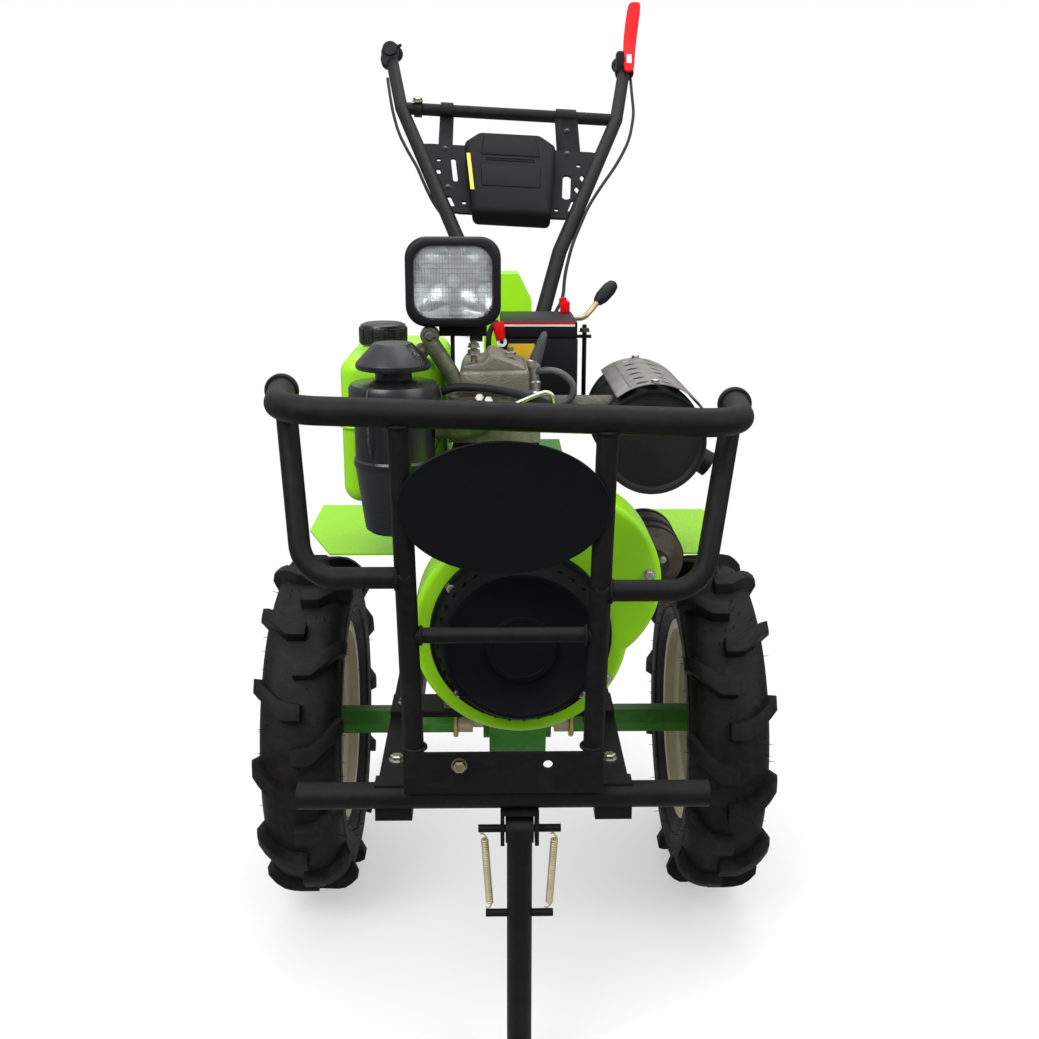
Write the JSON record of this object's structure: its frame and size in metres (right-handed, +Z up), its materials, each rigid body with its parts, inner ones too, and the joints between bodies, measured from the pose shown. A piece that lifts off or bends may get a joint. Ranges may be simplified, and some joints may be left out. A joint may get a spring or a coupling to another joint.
{
  "type": "walk-behind garden cultivator",
  "caption": "Two-wheeled walk-behind diesel cultivator with nose guard, front stand, headlamp, exposed engine, battery and high handlebar.",
  "frame": {"origin": "on the floor under the middle of the machine's box", "axes": "+Z up, -Y toward the nose, +X toward the machine's own left side"},
  "size_m": [0.777, 1.5766, 1.5357],
  "materials": {
    "tyre_rubber": "matte tread rubber",
    "cream_paint": "off-white enamel",
    "dark_green_paint": "satin dark green enamel",
    "coupling_brass": "yellow passivated steel",
    "green_paint": "glossy lime green enamel",
    "cast_iron": "dark casting",
    "black_paint": "satin black powder coat",
    "cast_metal": "raw sand casting",
    "zinc": "zinc plated",
    "black_plastic": "moulded black plastic",
    "shield_steel": "heat-dulled sheet steel",
    "lamp_glass": "pressed prismatic glass",
    "grip_rubber": "moulded rubber",
    "red_plastic": "glossy red"
  },
  "bodies": {
    "machine": {"fender_left": "green_paint", "fender_right": "green_paint", "gearbox": "dark_green_paint", "shift_column": "green_paint", "drawbar": "cast_iron", "engine_bed": "black_paint", "engine_block": "cast_metal", "cylinder": "cast_metal", "valve_cover": "cast_metal", "injector": "zinc", "fan_shroud": "green_paint", "recoil_cover": "black_plastic", "starter_motor": "cast_metal", "fuel_tank": "green_paint", "tank_shelf": "black_paint", "fuel_cap": "black_plastic", "air_cleaner": "black_plastic", "intake_pipe": "cast_metal", "muffler": "black_paint", "exhaust_pipe": "cast_iron", "heat_shield": "shield_steel", "battery": "black_plastic", "battery_tray": "black_paint", "lamp_housing": "black_plastic", "lamp_lens": "lamp_glass", "lamp_stem": "black_paint", "bumper_top_tube": "black_paint", "bumper_post_left": "black_paint", "bumper_post_right": "black_paint", "bumper_loop_left": "black_paint", "bumper_loop_right": "black_paint", "bumper_crossbar": "black_paint", "oval_plate": "black_plastic", "front_support": "black_paint", "stand_bracket": "black_paint", "gear_lever": "zinc"},
    "left_wheel": {"tyre_left": "tyre_rubber", "rim_left": "cream_paint", "hub_left": "dark_green_paint", "half_shaft_left": "coupling_brass"},
    "right_wheel": {"tyre_right": "tyre_rubber", "rim_right": "cream_paint", "hub_right": "dark_green_paint", "half_shaft_right": "coupling_brass"},
    "stand": {"stand_leg": "black_paint", "stand_springs": "zinc"},
    "handlebar": {"handlebar_left": "black_paint", "handlebar_right": "black_paint", "handlebar_crossbar": "black_paint", "grip_left": "grip_rubber", "grip_right": "grip_rubber", "clutch_lever": "red_plastic", "panel_bracket": "black_paint", "control_panel": "black_plastic", "cable_left": "black_plastic", "cable_right": "black_plastic"}
  },
  "joints": [
    {"name": "left_wheel_spin", "type": "hinge", "parent": "machine", "child": "left_wheel", "pos_m": [-0.3205, -0.24256, 0.275], "axis": [1, 0, 0], "continuous": true},
    {"name": "right_wheel_spin", "type": "hinge", "parent": "machine", "child": "right_wheel", "pos_m": [0.3205, -0.24256, 0.275], "axis": [1, 0, 0], "continuous": true},
    {"name": "stand_fold", "type": "hinge", "parent": "machine", "child": "stand", "pos_m": [0, -0.74256, 0.357], "axis": [1, 0, 0], "range_deg": [0, 85]},
    {"name": "handlebar_tilt", "type": "hinge", "parent": "machine", "child": "handlebar", "pos_m": [-0.008, -0.03756, 0.9], "axis": [1, 0, 0], "range_deg": [-12, 10]}
  ]
}
